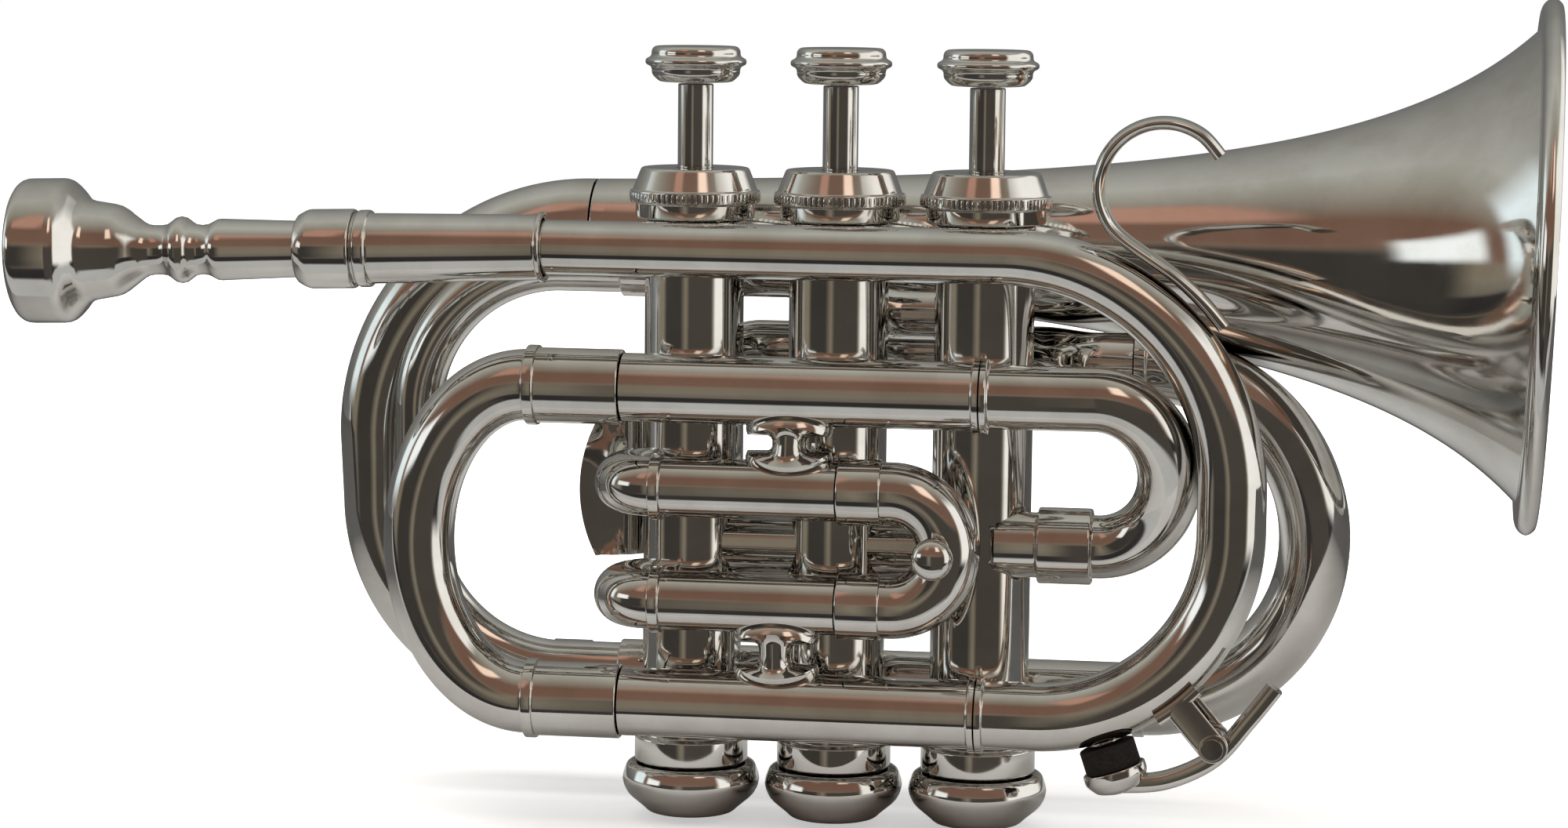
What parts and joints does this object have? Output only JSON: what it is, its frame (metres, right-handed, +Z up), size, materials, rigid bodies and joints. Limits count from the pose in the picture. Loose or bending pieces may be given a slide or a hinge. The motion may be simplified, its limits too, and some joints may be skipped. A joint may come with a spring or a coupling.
{
  "type": "pocket trumpet",
  "caption": "Compact coiled trumpet with piston valves, pull-out slides, flared bell, removable mouthpiece, water key and finger hook.",
  "frame": {"origin": "on the middle valve's axis, at the height where the left hand holds the valve block", "axes": "+X from the mouthpiece to the bell, +Z up along the valves towards the finger buttons, +Y from the leadpipe side to the bell side"},
  "size_m": [0.2764, 0.1083, 0.1513],
  "materials": {
    "nickel": "polished nickel plate, slightly warm, with light smudges",
    "steel": "drawn spring wire and turned screw",
    "cork": "dark, dull rubber cork",
    "felt": "pressed felt"
  },
  "bodies": {
    "instrument": {"mouthpiece_receiver": "nickel", "leadpipe_bow": "nickel", "upper_slide_tube": "nickel", "lower_slide_tube": "nickel", "small_bow": "nickel", "valve_casing_1": "nickel", "valve_casing_2": "nickel", "valve_casing_3": "nickel", "top_cap_1": "nickel", "top_cap_2": "nickel", "top_cap_3": "nickel", "bottom_cap_1": "nickel", "bottom_cap_2": "nickel", "bottom_cap_3": "nickel", "cap_felt_1": "felt", "cap_felt_2": "felt", "cap_felt_3": "felt", "piston_spring_1": "steel", "piston_spring_2": "steel", "piston_spring_3": "steel", "valve_tube_12": "nickel", "valve_tube_23": "nickel", "first_slide_upper_tube": "nickel", "first_slide_lower_tube": "nickel", "second_slide_upper_stub": "nickel", "second_slide_lower_stub": "nickel", "third_slide_upper_tube": "nickel", "third_slide_lower_tube": "nickel", "middle_tube": "nickel", "right_back_bow": "nickel", "bottom_back_tube": "nickel", "bell_bow": "nickel", "bell": "nickel", "bell_strut_left": "nickel", "bell_strut_right": "nickel", "leadpipe_strut_left": "nickel", "leadpipe_strut_right": "nickel", "upper_spool_brace": "nickel", "lower_spool_brace": "nickel", "finger_hook": "nickel", "thumb_saddle": "nickel", "water_key_saddle": "nickel", "water_key_screw": "steel", "water_key_spring": "steel"},
    "mouthpiece_body": {"mouthpiece": "nickel"},
    "tuning_slide": {"tuning_crook": "nickel"},
    "first_slide": {"first_slide_crook": "nickel"},
    "second_slide": {"second_slide_crook": "nickel"},
    "third_slide": {"third_slide_crook": "nickel"},
    "valve_1": {"piston_1": "nickel", "stem_1": "nickel", "finger_button_1": "nickel"},
    "valve_2": {"piston_2": "nickel", "stem_2": "nickel", "finger_button_2": "nickel"},
    "valve_3": {"piston_3": "nickel", "stem_3": "nickel", "finger_button_3": "nickel"},
    "water_key": {"water_key_lever": "nickel", "water_key_cork": "cork"}
  },
  "joints": [
    {"name": "valve_1_press", "type": "slide", "parent": "instrument", "child": "valve_1", "axis": [0, 0, -1], "range_m": [0, 0.015], "stiffness_N_per_m": 120, "springref_m": -0.03, "deforming": ["piston_spring_1"]},
    {"name": "valve_2_press", "type": "slide", "parent": "instrument", "child": "valve_2", "axis": [0, 0, -1], "range_m": [0, 0.015], "stiffness_N_per_m": 120, "springref_m": -0.03, "deforming": ["piston_spring_2"]},
    {"name": "valve_3_press", "type": "slide", "parent": "instrument", "child": "valve_3", "axis": [0, 0, -1], "range_m": [0, 0.015], "stiffness_N_per_m": 120, "springref_m": -0.03, "deforming": ["piston_spring_3"]},
    {"name": "tuning_slide_pull", "type": "slide", "parent": "instrument", "child": "tuning_slide", "axis": [-1, 0, 0], "range_m": [0, 0.035]},
    {"name": "first_slide_pull", "type": "slide", "parent": "instrument", "child": "first_slide", "axis": [1, 0, 0], "range_m": [0, 0.02]},
    {"name": "second_slide_pull", "type": "slide", "parent": "instrument", "child": "second_slide", "axis": [0, 1, 0], "range_m": [0, 0.006]},
    {"name": "third_slide_pull", "type": "slide", "parent": "instrument", "child": "third_slide", "axis": [-1, 0, 0], "range_m": [0, 0.014]},
    {"name": "mouthpiece_pull", "type": "slide", "parent": "instrument", "child": "mouthpiece_body", "axis": [-0.9996, 0, -0.0279], "range_m": [0, 0.025]},
    {"name": "water_key_hinge", "type": "hinge", "parent": "instrument", "child": "water_key", "pos_m": [0.07, -0.017, -0.0408], "axis": [0, 1, 0], "range_deg": [-18, 0], "stiffness_Nm_per_rad": 0.05, "springref_deg": 22.92}
  ]
}
